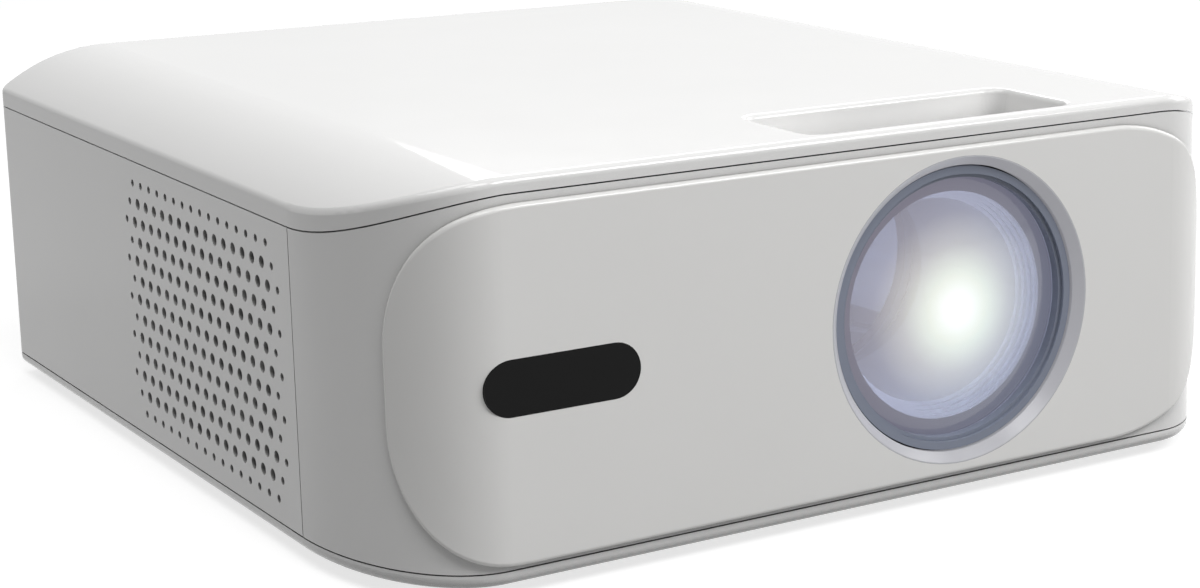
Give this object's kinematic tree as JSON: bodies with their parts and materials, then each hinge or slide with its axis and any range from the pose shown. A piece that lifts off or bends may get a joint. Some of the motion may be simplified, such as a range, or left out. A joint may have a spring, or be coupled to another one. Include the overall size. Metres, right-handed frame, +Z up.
{
  "type": "projector with disc drive",
  "caption": "Table-top projector with a recessed lens, vented side and arched lid, and a slim disc tray that slides out of its right side.",
  "frame": {"origin": "middle of the footprint of the bounding box, where the rubber feet stand", "axes": "-Y the way the lens looks, +X to the right of someone facing the lens, +Z up"},
  "size_m": [0.25, 0.2668, 0.0967],
  "materials": {
    "shell": "glossy moulded plastic",
    "fascia": "glossy moulded plastic",
    "window": "glossy infrared window",
    "bezel": "satin ring",
    "lens_glass": "polished",
    "lcd": "polished",
    "mirror": "silvered",
    "black_plastic": "fine moulded texture",
    "steel": "bright",
    "aluminium": "plain",
    "brass": "turned",
    "board": "solder mask",
    "transformer": "taped winding",
    "pickup_glass": "coated",
    "rubber": "matt"
  },
  "bodies": {
    "housing": {"top_cover": "shell", "base_cover": "shell", "front_band": "shell", "left_side_panel": "shell", "right_side_panel": "shell", "rear_panel": "shell", "front_fascia": "fascia", "sensor_window": "window", "lens_bezel": "bezel", "condenser_lens": "lens_glass", "field_lens": "lens_glass", "collimator_lens": "lens_glass", "lcd_panel": "lcd", "mirror": "mirror", "lens_sleeve": "black_plastic", "optical_box": "black_plastic", "optical_cover": "black_plastic", "lamp_fan_frame": "black_plastic", "rear_fan_frame": "black_plastic", "power_switch": "black_plastic", "speaker": "black_plastic", "ac_inlet": "black_plastic", "audio_jacks": "black_plastic", "drive_housing": "steel", "case_screws": "steel", "board_screws": "steel", "hdmi_ports": "steel", "usb_ports": "steel", "led_heatsink": "aluminium", "capacitors": "aluminium", "tripod_bush": "brass", "board_standoffs": "brass", "main_board": "board", "power_board": "board", "led_module": "board", "ir_receiver": "board", "transformer": "transformer", "rubber_feet": "rubber"},
    "focus_ring": {"focus_ring": "black_plastic"},
    "lens_barrel": {"lens_barrel": "black_plastic", "front_lens": "lens_glass", "rear_lens": "lens_glass"},
    "lamp_fan_rotor": {"lamp_fan_rotor": "black_plastic"},
    "rear_fan_rotor": {"rear_fan_rotor": "black_plastic"},
    "tray_rails": {"tray_rails": "steel"},
    "disc_tray": {"disc_tray": "black_plastic", "tray_bezel": "shell", "traverse_frame": "steel", "spindle_motor": "steel", "sled_motor": "steel", "guide_rods": "steel"},
    "eject_button": {"eject_button": "shell"},
    "turntable": {"turntable": "black_plastic"},
    "pickup_sled": {"pickup_sled": "black_plastic", "pickup_lens": "pickup_glass"},
    "lead_screw": {"lead_screw": "steel"},
    "power_button": {"power_button": "shell"},
    "tilt_foot": {"tilt_foot": "rubber"}
  },
  "joints": [
    {"name": "focus_turn", "type": "hinge", "parent": "housing", "child": "focus_ring", "pos_m": [0.0289, -0.1101, 0.0494], "axis": [0, 1, 0], "range_deg": [0, 120]},
    {"name": "lens_slide", "type": "slide", "parent": "housing", "child": "lens_barrel", "axis": [0, 1, 0], "range_m": [0, 0.006]},
    {"name": "lamp_fan_spin", "type": "hinge", "parent": "housing", "child": "lamp_fan_rotor", "pos_m": [-0.1223, -0.038, 0.0479], "axis": [1, 0, 0], "continuous": true},
    {"name": "rear_fan_spin", "type": "hinge", "parent": "housing", "child": "rear_fan_rotor", "pos_m": [-0.0535, 0.1307, 0.0595], "axis": [0, -1, 0], "continuous": true},
    {"name": "tray_slide", "type": "slide", "parent": "housing", "child": "disc_tray", "axis": [1, 0, 0], "range_m": [0, 0.12]},
    {"name": "rail_slide", "type": "slide", "parent": "housing", "child": "tray_rails", "axis": [1, 0, 0], "range_m": [0, 0.06]},
    {"name": "eject_press", "type": "slide", "parent": "disc_tray", "child": "eject_button", "axis": [-1, 0, 0], "range_m": [0, 0.0006], "stiffness_N_per_m": 400},
    {"name": "turntable_spin", "type": "hinge", "parent": "disc_tray", "child": "turntable", "pos_m": [0.0595, 0.065, 0.0219], "axis": [0, 0, 1], "continuous": true},
    {"name": "sled_slide", "type": "slide", "parent": "disc_tray", "child": "pickup_sled", "axis": [-1, 0, 0], "range_m": [0, 0.034]},
    {"name": "lead_screw_turn", "type": "hinge", "parent": "disc_tray", "child": "lead_screw", "pos_m": [0.0595, 0.0855, 0.0171], "axis": [1, 0, 0], "range_deg": [0, 3600]},
    {"name": "power_press", "type": "slide", "parent": "housing", "child": "power_button", "axis": [0, -1, 0], "range_m": [0, 0.0008], "stiffness_N_per_m": 400},
    {"name": "tilt_foot_extend", "type": "slide", "parent": "housing", "child": "tilt_foot", "axis": [0, 0, -1], "range_m": [0, 0.012]}
  ],
  "couplings": [
    {"joint": "focus_turn", "follows": "lens_slide", "rad_per_m": 349.03},
    {"joint": "rail_slide", "follows": "tray_slide", "ratio": 0.5},
    {"joint": "lead_screw_turn", "follows": "sled_slide", "rad_per_m": 1847.8}
  ]
}
